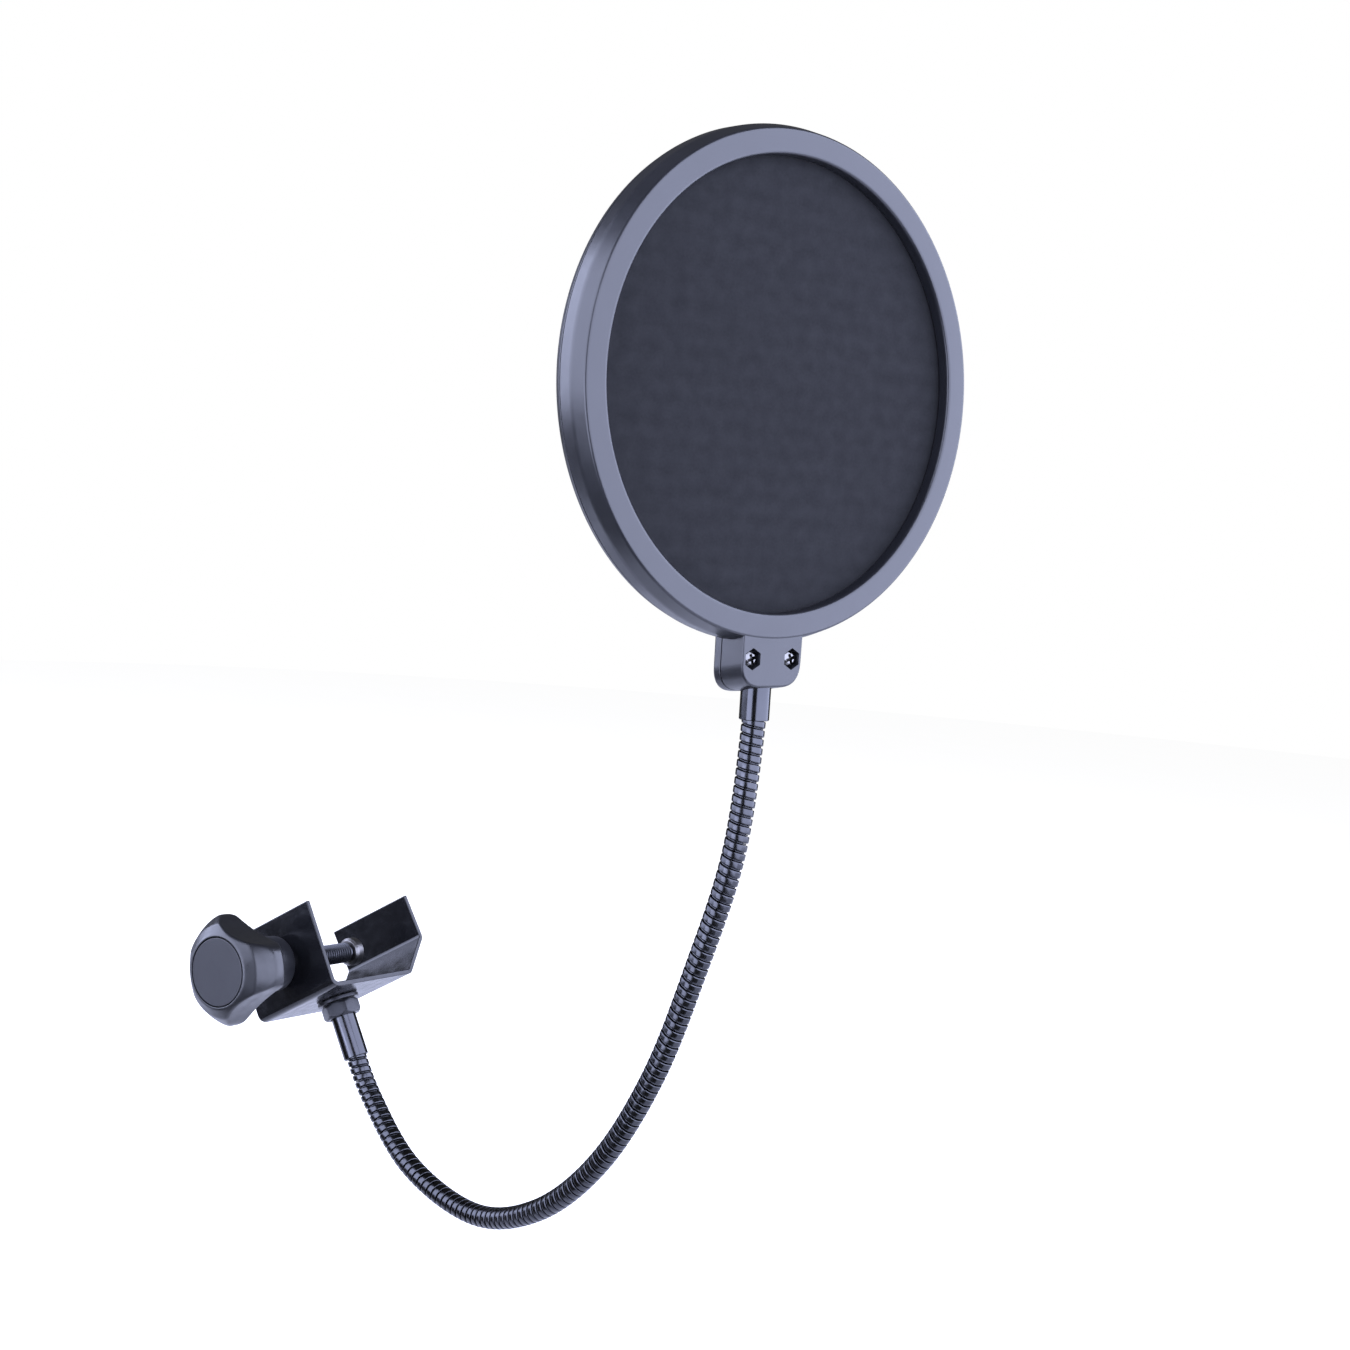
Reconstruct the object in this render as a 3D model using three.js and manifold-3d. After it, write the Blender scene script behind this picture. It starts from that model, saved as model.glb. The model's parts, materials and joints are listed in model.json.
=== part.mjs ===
// Gooseneck pop filter with a screw clamp. Millimetres, +Z up.
// The origin is the middle of the stand tube that the clamp grips. The tube rises towards +X, the
// clamp screw pushes along +Y, and the filter faces +X.
import * as THREE from 'three';
import { mergeVertices } from 'three/addons/utils/BufferGeometryUtils.js';
import Module from 'manifold-3d';

// ---------- driving dimensions ----------
const GAP = 0.3; // between pieces that touch
const TUBE_INCLINE = 31; // degrees, of the gripped tube
const TUBE_R = 8;

const SHEET = 1.8; // clamp bracket steel
const BRACKET_LENGTH = 41;
const BRACKET_WIDTH = 48.5; // outside of the screw wall to the tube's middle
const WALL_TOP = 16.9;
const BASE_BOTTOM = -17.4;
const JAW_TOP = 14.3;
const JAW_LEAN = 5; // degrees, the far jaw leans in over the tube
const BEND_R = 2; // inside the bends
const STUD_Y = -25.7; // gooseneck fixing on the bracket's base

const SCREW_R = 3.95; // M8
const SPIGOT_R = 2.2; // the screw's end inside the pad
const SPIGOT = 2.2;
const PAD_R = 5.5;
const PAD_THICK = 4;
const PAD_EDGE = 1;
const BUSH_R = 5;
const BUSH_FLANGE_R = 6;
const BUSH_FLANGE = 2.2;
const BUSH_LIP = 1.2; // stands out of the wall's inner face

const KNOB_FACE_Y = -82.6;
const KNOB_R = 21.4;
const KNOB_OUTSIDE = [ // depth behind the face, radius of the corners
  [0, 13.4], [2.6, 17.3], [6, 19.5], [9.5, 21.3], [11.5, KNOB_R], [14, 19.5], [14.5, 0],
];
const KNOB_TIP = 20; // degrees, half the width of a knob corner
const KNOB_VALLEY = 14.8; // radius at the middle of a hollow side
const KNOB_TURN = -17; // degrees from +X towards +Z, where the first corner points
const KNOB_SOCKET = 6; // the screw ends this far behind the face
const KNOB_HUB_R = 14; // the hub narrows behind the corners
const KNOB_HUB_END_R = 9.5;
const KNOB_HUB_END = 30.2; // behind the face
const CAP_R = 12.5;
const CAP_THICK = 1.6;
const CAP_EDGE = 0.4;

const NUT_FLATS = 13;
const NUT_HEIGHT = 5.6;
const NUT_SEAT = 1.8; // depth of the ferrule's seat in the nut
const WASHER_R = 8;
const WASHER_THICK = 1.4;
const BOLT_R = 2.9;
const BOLT_HEAD_R = 4.6;
const BOLT_HEAD = 2.4;
const LOWER_FERRULE_R = 4.75;
const FERRULE_END = 41.4; // lower ferrule's end below the tube's middle

const NECK_R = 3.9;
const COIL_WALL = 1.3; // outer wedge wire
const CORE_R = 2.3; // inner round-wire spring
const NECK_INSERT = 11; // inside each ferrule
const NECK_SEGMENTS = 9;
const HINGE_GAP = 1.7; // between two neck segments

const HOOP_DEPTH = 14.3;
const HOOP_OUTSIDE = [ // depth behind the front face, radius
  [0, 77.4], [1, 78.4], [3.5, 79.4], [7, 79.9], [12, 79.8], [13.5, 79.1], [HOOP_DEPTH, 77.8],
];
const HOOP_ROOM_R = 75.6; // inside of the wall
const HOOP_INNER_R = 70.2; // opening
const HOOP_WALL = 2;
const SPLIT = 10.4; // depth of the front shell
const MESH_DEPTH = 4.6; // front fabric behind the front face
const REAR_MESH_DEPTH = 2.8; // rear fabric in front of the rear face
const MESH_THICK = 0.5;
const HEAD_AT = [203, -66, 219.7]; // middle of the front face
const HEAD_TURN = [4, 1.4, -19.8]; // degrees about X, Y, Z

const TAB_WIDTH = 24.6; // at the front face
const TAB_BOTTOM = -93.3;
const TAB_FLARE = 0.4; // each side, at the back
const TAB_DROP = 2.9; // the lower edge is this much lower at the back
const TAB_ROOT = -73.5;
const TAB_CORNER = 8;
const FERRULE_DEPTH = 7.2; // upper ferrule's axis behind the front face
const UPPER_FERRULE_R = 4.85;
const FERRULE_TOP = -85;
const FERRULE_BOTTOM = -104.5;
const FLANGE_Z = -90; // flange that the tab holds
const FLANGE_OUT = 0.9;
const FLANGE_THICK = 2;
const SCREW_Z = -84.4;
const SCREW_SPREAD = 8.1;
const POCKET_FLATS = 5.8;
const POCKET_DEPTH = 3;
const REAR_POCKET = 2.5;
const TAB_SCREW_R = 1.45; // M3
const TAB_SCREW_HEAD_R = 2.45;
const TAB_SCREW_HEAD = 1.9;
const TAB_SCREW_DOME_R = 1.8;
const SLOT = [1.4, 0.6, 2.6]; // one arm of the cross recess
const TAB_NUT_FLATS = 5.4;
const TAB_NUT_THICK = 2.2;

const ROUND = 64; // steps round the hoop
const FINE = 32;
const SMALL = 20;

// ---------- materials ----------
const material = (color, roughness, metalness) =>
  new THREE.MeshStandardMaterial({ color, roughness, metalness });
const LOOK = {
  steel: () => material('#17181c', 0.25, 0.6),
  plastic: () => material('#2a2c33', 0.45, 0),
  cap: () => material('#3a3c42', 0.6, 0),
  coil: () => material('#3b3d45', 0.3, 1),
  nickel: () => material('#c9c9c6', 0.22, 1),
  zinc: () => material('#77797d', 0.4, 1),
  fabric: () => material('#1b1c20', 0.9, 0),
};

// ---------- solids ----------
const wasm = await Module();
wasm.setup();
const rad = THREE.MathUtils.degToRad;

// A closed geometry as a manifold, faces pointing out.
function solid(geometry) {
  geometry.deleteAttribute('normal');
  geometry.deleteAttribute('uv');
  const merged = mergeVertices(geometry, 1e-4);
  const at = merged.attributes.position;
  const corners = [0, 1, 2].map(() => new THREE.Vector3());
  const tris = [];
  let volume = 0;
  for (let i = 0; i < merged.index.count; i += 3) {
    const ids = [0, 1, 2].map((k) => merged.index.getX(i + k));
    if (new Set(ids).size < 3) continue;
    ids.forEach((id, k) => corners[k].fromBufferAttribute(at, id));
    volume += corners[0].dot(corners[1].clone().cross(corners[2]));
    tris.push(ids);
  }
  if (volume < 0) tris.forEach((ids) => ids.reverse());
  return new wasm.Manifold(new wasm.Mesh({
    numProp: 3,
    vertProperties: Float32Array.from(at.array),
    triVerts: Uint32Array.from(tris.flat()),
  }));
}

function named(name, shape, look) {
  const { vertProperties, triVerts } = shape.getMesh();
  const geometry = new THREE.BufferGeometry();
  geometry.setAttribute('position', new THREE.BufferAttribute(new Float32Array(vertProperties), 3));
  geometry.setIndex(new THREE.BufferAttribute(new Uint32Array(triVerts), 1));
  geometry.computeVertexNormals();
  const mesh = new THREE.Mesh(geometry, look());
  mesh.name = name;
  return mesh;
}

// Turned piece: [radius, along] pairs, turned about +X, +Y or +Z.
function turned(profile, axis, steps) {
  const geometry = new THREE.LatheGeometry(profile.map(([r, a]) => new THREE.Vector2(r, a)), steps);
  if (axis === 'x') geometry.rotateZ(-Math.PI / 2);
  if (axis === 'z') geometry.rotateX(Math.PI / 2);
  return solid(geometry);
}

// Round bar, tube or cone along an axis.
const bar = (radius, from, to, axis, steps = SMALL) =>
  turned([[0, from], [radius, from], [radius, to], [0, to]], axis, steps);
const tube = (outer, inner, from, to, axis, steps = SMALL) =>
  turned([[inner, from], [outer, from], [outer, to], [inner, to], [inner, from]], axis, steps);

// Hexagonal prism along Z or X. A hexagon along X has a corner at the top.
function hexagon(flats, from, to, axis) {
  const corner = flats / 2 / Math.cos(Math.PI / 6);
  const geometry = new THREE.CylinderGeometry(corner, corner, to - from, 6);
  geometry.translate(0, (from + to) / 2, 0);
  if (axis === 'x') geometry.rotateY(Math.PI / 2).rotateZ(-Math.PI / 2);
  if (axis === 'z') geometry.rotateX(Math.PI / 2);
  return solid(geometry);
}

// An outline drawn in Y and Z, extruded along X.
function extrudedX(shape, from, to, curveSegments = 6) {
  const depth = to - from;
  const geometry = new THREE.ExtrudeGeometry(shape, { depth, bevelEnabled: false, curveSegments });
  geometry.applyMatrix4(new THREE.Matrix4().makeBasis(
    new THREE.Vector3(0, 1, 0), new THREE.Vector3(0, 0, 1), new THREE.Vector3(1, 0, 0)));
  geometry.translate(from, 0, 0);
  return solid(geometry);
}

// ---------- clamp bracket ----------
// Corners of a bent line moved sideways by a distance.
function offset(points, distance) {
  const sides = points.slice(1).map((p, i) => {
    const along = p.clone().sub(points[i]).normalize();
    const aside = new THREE.Vector2(along.y, -along.x).multiplyScalar(distance);
    return { along, at: points[i].clone().add(aside) };
  });
  const ends = [sides[0].at, sides.at(-1).at.clone()
    .add(sides.at(-1).along.clone().multiplyScalar(points.at(-1).distanceTo(points.at(-2))))];
  const inner = sides.slice(1).map((side, i) => {
    const previous = sides[i];
    const reach = side.at.clone().sub(previous.at).cross(side.along) / previous.along.cross(side.along);
    return previous.at.clone().add(previous.along.clone().multiplyScalar(reach));
  });
  return [ends[0], ...inner, ends[1]];
}

// Draws a bent line with rounded corners.
function drawBends(shape, points, radius) {
  points.forEach((corner, i) => {
    if (i === 0 || i === points.length - 1) {
      shape[shape.curves.length || i ? 'lineTo' : 'moveTo'](corner.x, corner.y);
      return;
    }
    const back = points[i - 1].clone().sub(corner).normalize();
    const on = points[i + 1].clone().sub(corner).normalize();
    const reach = radius / Math.tan(Math.acos(back.dot(on)) / 2);
    const start = corner.clone().add(back.multiplyScalar(reach));
    const end = corner.clone().add(on.multiplyScalar(reach));
    shape.lineTo(start.x, start.y);
    shape.quadraticCurveTo(corner.x, corner.y, end.x, end.y);
  });
}

function bracket() {
  const baseTop = BASE_BOTTOM + SHEET;
  const wallInside = SHEET - BRACKET_WIDTH;
  const slope = TUBE_R * Math.SQRT2; // the 45 degree face touches the tube
  const lean = rad(JAW_LEAN);
  const jawAt = (z) => (TUBE_R - z * Math.sin(lean)) / Math.cos(lean);
  const kinkZ = (TUBE_R - slope * Math.cos(lean)) / (Math.cos(lean) + Math.sin(lean));
  const inside = [
    new THREE.Vector2(wallInside, WALL_TOP),
    new THREE.Vector2(wallInside, baseTop),
    new THREE.Vector2(baseTop + slope, baseTop),
    new THREE.Vector2(jawAt(kinkZ), kinkZ),
    new THREE.Vector2(jawAt(JAW_TOP), JAW_TOP),
  ];
  const profile = new THREE.Shape();
  drawBends(profile, inside, BEND_R);
  drawBends(profile, offset(inside, SHEET).reverse(), BEND_R + SHEET);
  profile.closePath();
  return extrudedX(profile, -BRACKET_LENGTH / 2, BRACKET_LENGTH / 2)
    .subtract(bar(BUSH_R + GAP, -BRACKET_WIDTH - 1, wallInside + 1, 'y'))
    .subtract(bar(BOLT_R + GAP, BASE_BOTTOM - 1, baseTop + 1, 'z').translate([0, STUD_Y, 0]));
}

// ---------- clamp screw and knob ----------
function bush() {
  const flangeFace = -BRACKET_WIDTH - GAP;
  const lip = SHEET - BRACKET_WIDTH + BUSH_LIP;
  const bore = SCREW_R + GAP;
  return turned([
    [bore, flangeFace - BUSH_FLANGE], [BUSH_FLANGE_R, flangeFace - BUSH_FLANGE],
    [BUSH_FLANGE_R, flangeFace], [BUSH_R, flangeFace],
    [BUSH_R, lip], [bore, lip], [bore, flangeFace - BUSH_FLANGE],
  ], 'y', SMALL);
}

const PAD_FACE = -TUBE_R - GAP;
const PAD_BACK = PAD_FACE - PAD_THICK;

function clampScrew() {
  return turned([
    [0, KNOB_FACE_Y + KNOB_SOCKET], [SCREW_R, KNOB_FACE_Y + KNOB_SOCKET], [SCREW_R, PAD_BACK - GAP],
    [SPIGOT_R, PAD_BACK - GAP], [SPIGOT_R, PAD_BACK + SPIGOT], [0, PAD_BACK + SPIGOT],
  ], 'y', SMALL);
}

function pressurePad() {
  const socket = SPIGOT_R + GAP;
  const bottom = PAD_BACK + SPIGOT + GAP;
  return turned([
    [0, bottom], [socket, bottom], [socket, PAD_BACK],
    [PAD_R - PAD_EDGE, PAD_BACK], [PAD_R, PAD_BACK + PAD_EDGE], [PAD_R, PAD_FACE], [0, PAD_FACE],
  ], 'y', SMALL);
}

// Three broad corners with hollow sides, seen along the screw.
function knobOutline() {
  const outline = new THREE.Shape();
  [0, 1, 2].forEach((lobe) => {
    const middle = rad(KNOB_TURN + 120 * lobe);
    const tip = rad(KNOB_TIP);
    outline.absarc(0, 0, KNOB_R, middle - tip, middle + tip);
    const next = middle + rad(120) - tip;
    const half = rad(60);
    const pull = 2 * KNOB_VALLEY - KNOB_R * Math.cos(half - tip);
    outline.quadraticCurveTo(pull * Math.cos(middle + half), pull * Math.sin(middle + half),
      KNOB_R * Math.cos(next), KNOB_R * Math.sin(next));
  });
  return outline;
}

function knob() {
  const rear = KNOB_OUTSIDE.at(-1)[0];
  const depth = rear + 2;
  const prism = new THREE.ExtrudeGeometry(knobOutline(), { depth, bevelEnabled: false, curveSegments: 8 });
  prism.rotateX(Math.PI / 2).translate(0, depth - 1, 0);
  const dome = turned([[0, 0], ...KNOB_OUTSIDE.map(([behind, radius]) => [radius, behind])], 'y', 48);
  const hub = turned([
    [0, rear - 2], [KNOB_HUB_R, rear - 2], [KNOB_HUB_R, rear],
    [KNOB_HUB_END_R, KNOB_HUB_END], [0, KNOB_HUB_END],
  ], 'y', FINE);
  return solid(prism).intersect(dome).add(hub)
    .subtract(bar(CAP_R + GAP, -1, CAP_THICK + GAP, 'y', FINE))
    .subtract(bar(SCREW_R + GAP, KNOB_SOCKET - GAP, KNOB_HUB_END + 1, 'y'))
    .translate([0, KNOB_FACE_Y, 0]);
}

const knobCap = () => turned([
  [0, KNOB_FACE_Y], [CAP_R - CAP_EDGE, KNOB_FACE_Y], [CAP_R, KNOB_FACE_Y + CAP_EDGE],
  [CAP_R, KNOB_FACE_Y + CAP_THICK], [0, KNOB_FACE_Y + CAP_THICK],
], 'y', FINE);

// ---------- gooseneck fixing ----------
const WASHER_TOP = BASE_BOTTOM - GAP;
const NUT_TOP = WASHER_TOP - WASHER_THICK - GAP;
const NUT_BOTTOM = NUT_TOP - NUT_HEIGHT;

function neckBolt() {
  const under = BASE_BOTTOM + SHEET + GAP;
  const end = NUT_BOTTOM + NUT_SEAT + GAP;
  return turned([
    [0, end], [BOLT_R, end], [BOLT_R, under], [BOLT_HEAD_R, under], [BOLT_HEAD_R, under + 0.6],
    [BOLT_HEAD_R * 0.8, under + BOLT_HEAD * 0.72],
    [BOLT_HEAD_R * 0.45, under + BOLT_HEAD * 0.95], [0, under + BOLT_HEAD],
  ], 'z', SMALL);
}

const washer = () => tube(WASHER_R, BOLT_R + GAP, WASHER_TOP - WASHER_THICK, WASHER_TOP, 'z');

const hexNut = () => hexagon(NUT_FLATS, NUT_BOTTOM, NUT_TOP, 'z')
  .subtract(bar(BOLT_R + GAP, NUT_BOTTOM - 1, NUT_TOP + 1, 'z'))
  .subtract(bar(LOWER_FERRULE_R + GAP, NUT_BOTTOM - 1, NUT_BOTTOM + NUT_SEAT, 'z'));

// Sleeve with a blind bore for the neck. It runs down from its closed end.
function ferrule(radius, closed, open, flange = []) {
  const floor = open + NECK_INSERT + GAP;
  return turned([
    [0, floor], [NECK_R + GAP, floor], [NECK_R + GAP, open], [radius - 0.25, open],
    [radius, open + 0.3], ...flange, [radius, closed], [0, closed],
  ], 'z', SMALL);
}

// ---------- gooseneck ----------
// From the lower ferrule's inner end to the upper ferrule's, in the part's frame.
function neckCurve(lower, upper) {
  return new THREE.CatmullRomCurve3([
    lower.at(-NECK_INSERT), lower.at(0),
    new THREE.Vector3(30.4, -26, -48.1),
    new THREE.Vector3(55.1, -29.5, -68.3),
    new THREE.Vector3(91.3, -35.3, -76.3),
    new THREE.Vector3(125.4, -45.1, -63.8),
    new THREE.Vector3(153.2, -52.6, -38.7),
    new THREE.Vector3(172.8, -56.1, -4.9),
    new THREE.Vector3(185.2, -57, 33),
    new THREE.Vector3(194.4, -56.5, 72.2),
    upper.at(0), upper.at(-NECK_INSERT),
  ], false, 'centripetal');
}

// Ring or disc section swept along a stretch of the neck.
function sweep(curve, from, to, outer, inner) {
  const section = new THREE.Shape();
  section.absarc(0, 0, outer, 0, 2 * Math.PI);
  if (inner) {
    const hole = new THREE.Path();
    hole.absarc(0, 0, inner, 0, 2 * Math.PI, true);
    section.holes.push(hole);
  }
  const length = curve.getLength();
  const stretch = [0, 0.25, 0.5, 0.75, 1].map((t) => curve.getPointAt((from + (to - from) * t) / length));
  return solid(new THREE.ExtrudeGeometry(section, {
    extrudePath: new THREE.CatmullRomCurve3(stretch),
    steps: Math.max(3, Math.round((to - from) / 5)),
    curveSegments: 7,
    bevelEnabled: false,
  }));
}

// Places along the neck where two segments meet.
function neckJoints(length) {
  const free = length - 2 * NECK_INSERT;
  const pitch = free / (NECK_SEGMENTS - 1);
  return Array.from({ length: NECK_SEGMENTS - 1 }, (_, i) => NECK_INSERT + pitch * (i + 0.5));
}

function neck(curve) {
  const length = curve.getLength();
  const joints = neckJoints(length);
  const group = new THREE.Group();
  for (let i = 0; i < NECK_SEGMENTS; i += 1) {
    const from = i ? joints[i - 1] + HINGE_GAP / 2 : 0;
    const to = i < joints.length ? joints[i] - HINGE_GAP / 2 : length;
    group.add(
      named(`neck_outer_coil_${i}`, sweep(curve, from, to, NECK_R, NECK_R - COIL_WALL), LOOK.coil),
      named(`neck_inner_spring_${i}`, sweep(curve, from, to, CORE_R), LOOK.zinc),
    );
  }
  return group;
}

// ---------- filter head: X out of the front face, Z up ----------
const TAB_SCREWS = { left: SCREW_SPREAD, right: -SCREW_SPREAD };

// The hoop's outside between two depths, as [radius, along X] pairs.
function hoopOutside(from, to) {
  const radiusAt = (depth) => {
    const next = Math.max(1, HOOP_OUTSIDE.findIndex(([d]) => d >= depth));
    const [[d0, r0], [d1, r1]] = HOOP_OUTSIDE.slice(next - 1, next + 1);
    return r0 + (r1 - r0) * (depth - d0) / (d1 - d0);
  };
  const between = HOOP_OUTSIDE.filter(([depth]) => depth > from && depth < to);
  return [[from, radiusAt(from)], ...between, [to, radiusAt(to)]].map(([depth, radius]) => [radius, -depth]);
}

// Thin slice of the round-cornered tab below the hoop.
function tabSlice(depth) {
  const share = depth / HOOP_DEPTH;
  const half = TAB_WIDTH / 2 + TAB_FLARE * share;
  const bottom = TAB_BOTTOM - TAB_DROP * share;
  const outline = new THREE.Shape();
  outline.moveTo(half, TAB_ROOT);
  outline.lineTo(-half, TAB_ROOT);
  outline.lineTo(-half, bottom + TAB_CORNER);
  outline.absarc(TAB_CORNER - half, bottom + TAB_CORNER, TAB_CORNER, Math.PI, 1.5 * Math.PI);
  outline.absarc(half - TAB_CORNER, bottom + TAB_CORNER, TAB_CORNER, 1.5 * Math.PI, 2 * Math.PI);
  outline.closePath();
  return extrudedX(outline, -depth - SLICE / 2, -depth + SLICE / 2);
}
const SLICE = 0.02;

const tab = (from, to) => wasm.Manifold.hull([tabSlice(from + SLICE / 2), tabSlice(to - SLICE / 2)]);

// Everything cut out of both tab halves.
function tabHollows() {
  const front = 0;
  const back = -HOOP_DEPTH;
  const flangeRoom = UPPER_FERRULE_R + FLANGE_OUT + GAP;
  let cut = bar(UPPER_FERRULE_R + GAP, TAB_BOTTOM - TAB_DROP - 1, FERRULE_TOP + GAP, 'z', SMALL)
    .add(bar(flangeRoom, FLANGE_Z - GAP, FLANGE_Z + FLANGE_THICK + GAP, 'z', SMALL))
    .translate([-FERRULE_DEPTH, 0, 0]);
  Object.values(TAB_SCREWS).forEach((y) => {
    cut = cut.add(hexagon(POCKET_FLATS, front - POCKET_DEPTH, front + 1, 'x').translate([0, y, SCREW_Z]))
      .add(hexagon(POCKET_FLATS, back - 1, back + REAR_POCKET, 'x').translate([0, y, SCREW_Z]))
      .add(bar(TAB_SCREW_R + GAP, back, front, 'x', 16).translate([0, y, SCREW_Z]));
  });
  return cut;
}

// Room behind the tab's root for the spacer ring and the fabrics' edges.
const spacerRoom = () => tube(HOOP_ROOM_R, HOOP_INNER_R + HOOP_WALL + 0.1,
  HOOP_WALL - HOOP_DEPTH, -HOOP_WALL, 'x', ROUND);

function frontHoop() {
  const lip = GAP - MESH_DEPTH;
  const ring = turned([
    [HOOP_INNER_R, 0], ...hoopOutside(0, SPLIT),
    [HOOP_ROOM_R, -SPLIT], [HOOP_ROOM_R, -HOOP_WALL], [HOOP_INNER_R + HOOP_WALL, -HOOP_WALL],
    [HOOP_INNER_R + HOOP_WALL, lip], [HOOP_INNER_R, lip], [HOOP_INNER_R, 0],
  ], 'x', ROUND);
  return ring.add(tab(0, SPLIT)).subtract(spacerRoom()).subtract(tabHollows());
}

function rearHoop() {
  const start = SPLIT + GAP;
  const lip = REAR_MESH_DEPTH - HOOP_DEPTH - GAP;
  const floor = HOOP_WALL - HOOP_DEPTH;
  const ring = turned([
    ...hoopOutside(start, HOOP_DEPTH),
    [HOOP_INNER_R, -HOOP_DEPTH], [HOOP_INNER_R, lip], [HOOP_INNER_R + HOOP_WALL, lip],
    [HOOP_INNER_R + HOOP_WALL, floor], [HOOP_ROOM_R, floor], [HOOP_ROOM_R, -start],
    hoopOutside(start, HOOP_DEPTH)[0],
  ], 'x', ROUND);
  return ring.add(tab(start, HOOP_DEPTH)).subtract(spacerRoom()).subtract(tabHollows());
}

const meshDisc = (front) => bar(HOOP_ROOM_R - GAP, front - MESH_THICK, front, 'x', ROUND);

function spacerRing() {
  const front = -MESH_DEPTH - MESH_THICK - GAP;
  const back = REAR_MESH_DEPTH + MESH_THICK + GAP - HOOP_DEPTH;
  return tube(HOOP_ROOM_R - GAP, HOOP_INNER_R + GAP, back, front, 'x', ROUND);
}

function tabScrew() {
  const seat = -POCKET_DEPTH + GAP;
  const slot = new THREE.BoxGeometry(...SLOT);
  slot.translate(seat + TAB_SCREW_HEAD, 0, 0);
  const across = slot.clone().rotateX(Math.PI / 2);
  return turned([
    [0, GAP - HOOP_DEPTH], [TAB_SCREW_R, GAP - HOOP_DEPTH], [TAB_SCREW_R, seat], [TAB_SCREW_HEAD_R, seat],
    [TAB_SCREW_HEAD_R, seat + TAB_SCREW_HEAD / 2], [TAB_SCREW_DOME_R, seat + TAB_SCREW_HEAD],
    [0, seat + TAB_SCREW_HEAD],
  ], 'x', 16).subtract(solid(slot)).subtract(solid(across));
}

const tabNut = () => hexagon(TAB_NUT_FLATS, -HOOP_DEPTH, TAB_NUT_THICK - HOOP_DEPTH, 'x')
  .subtract(bar(TAB_SCREW_R + 0.2, -HOOP_DEPTH - 1, 0, 'x', 16));

function filterHead() {
  const flangeR = UPPER_FERRULE_R + FLANGE_OUT;
  const flange = [
    [UPPER_FERRULE_R, FLANGE_Z], [flangeR, FLANGE_Z],
    [flangeR, FLANGE_Z + FLANGE_THICK], [UPPER_FERRULE_R, FLANGE_Z + FLANGE_THICK],
  ];
  const upper = ferrule(UPPER_FERRULE_R, FERRULE_TOP, FERRULE_BOTTOM, flange)
    .translate([-FERRULE_DEPTH, 0, 0]);
  const head = new THREE.Group();
  head.add(
    named('front_hoop', frontHoop(), LOOK.plastic),
    named('rear_hoop', rearHoop(), LOOK.plastic),
    named('front_fabric', meshDisc(-MESH_DEPTH), LOOK.fabric),
    named('rear_fabric', meshDisc(REAR_MESH_DEPTH + MESH_THICK - HOOP_DEPTH), LOOK.fabric),
    named('spacer_ring', spacerRing(), LOOK.plastic),
    named('upper_ferrule', upper, LOOK.coil),
  );
  Object.entries(TAB_SCREWS).forEach(([side, y]) => head.add(
    named(`tab_screw_${side}`, tabScrew().translate([0, y, SCREW_Z]), LOOK.nickel),
    named(`tab_nut_${side}`, tabNut().translate([0, y, SCREW_Z]), LOOK.zinc),
  ));
  head.position.set(...HEAD_AT);
  const [x, y, z] = HEAD_TURN.map(rad);
  head.rotation.set(x, y, z, 'ZYX');
  return head;
}

function clamp() {
  const fixing = (shape) => shape.translate([0, STUD_Y, 0]);
  const lower = ferrule(LOWER_FERRULE_R, NUT_BOTTOM + NUT_SEAT - GAP, -FERRULE_END);
  const group = new THREE.Group();
  group.add(
    named('clamp_bracket', bracket(), LOOK.steel),
    named('thread_bush', bush(), LOOK.zinc),
    named('clamp_screw', clampScrew(), LOOK.zinc),
    named('pressure_pad', pressurePad(), LOOK.zinc),
    named('knob', knob(), LOOK.plastic),
    named('knob_cap', knobCap(), LOOK.cap),
    named('neck_bolt', fixing(neckBolt()), LOOK.zinc),
    named('washer', fixing(washer()), LOOK.zinc),
    named('hex_nut', fixing(hexNut()), LOOK.steel),
    named('lower_ferrule', fixing(lower), LOOK.coil),
  );
  group.rotation.y = -rad(TUBE_INCLINE);
  return group;
}

// Point on a ferrule's axis, a distance out of its open end.
function mouth(group, x, y, z, down) {
  group.updateMatrixWorld();
  return {
    at: (out) => new THREE.Vector3(x, y, z + out * down).applyMatrix4(group.matrixWorld),
  };
}

const clampGroup = clamp();
const headGroup = filterHead();
const curve = neckCurve(
  mouth(clampGroup, 0, STUD_Y, -FERRULE_END, -1),
  mouth(headGroup, -FERRULE_DEPTH, 0, FERRULE_BOTTOM, -1),
);

const popFilter = new THREE.Group();
popFilter.add(clampGroup, headGroup, neck(curve));
export default popFilter;
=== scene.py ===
"""Looks of a gooseneck pop filter with a screw clamp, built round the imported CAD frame."""
import json
import math

import bmesh
import bpy
import numpy as np
from mathutils import Matrix, Vector


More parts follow.
